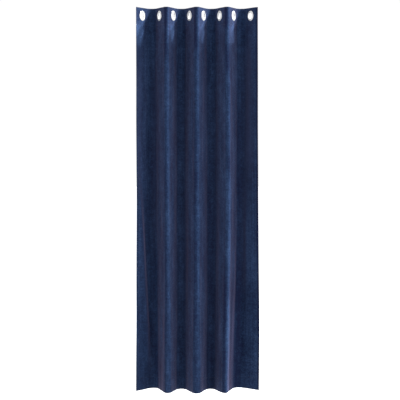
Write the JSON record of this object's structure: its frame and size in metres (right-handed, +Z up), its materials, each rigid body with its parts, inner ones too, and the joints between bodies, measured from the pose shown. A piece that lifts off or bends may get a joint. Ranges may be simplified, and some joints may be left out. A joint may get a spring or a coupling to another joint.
{
  "type": "eyelet blackout curtain",
  "caption": "Velvet blackout curtain panel hanging in deep vertical folds from metal eyelets along a stiff heading, with a plain hem.",
  "frame": {"origin": "middle of the top edge, straight above the line of the curtain rod", "axes": "+Z up along the drop, -Y the front that faces the room, +X to the right along the rod"},
  "size_m": [0.793, 0.1862, 2.45],
  "materials": {
    "velvet": "navy blackout velvet with a short dense pile, dark in the folds and blue where the pile catches the light, doubled and stiffened along the top",
    "eyelet_metal": "bright polished nickel plate"
  },
  "bodies": {
    "root": {"panel": "velvet", "heading_1": "velvet", "heading_2": "velvet", "heading_3": "velvet", "heading_4": "velvet", "heading_5": "velvet", "eyelet_ring_1": "eyelet_metal", "eyelet_ring_2": "eyelet_metal", "eyelet_ring_3": "eyelet_metal", "eyelet_ring_4": "eyelet_metal", "eyelet_ring_5": "eyelet_metal", "eyelet_ring_6": "eyelet_metal", "eyelet_ring_7": "eyelet_metal", "eyelet_ring_8": "eyelet_metal"}
  },
  "joints": []
}
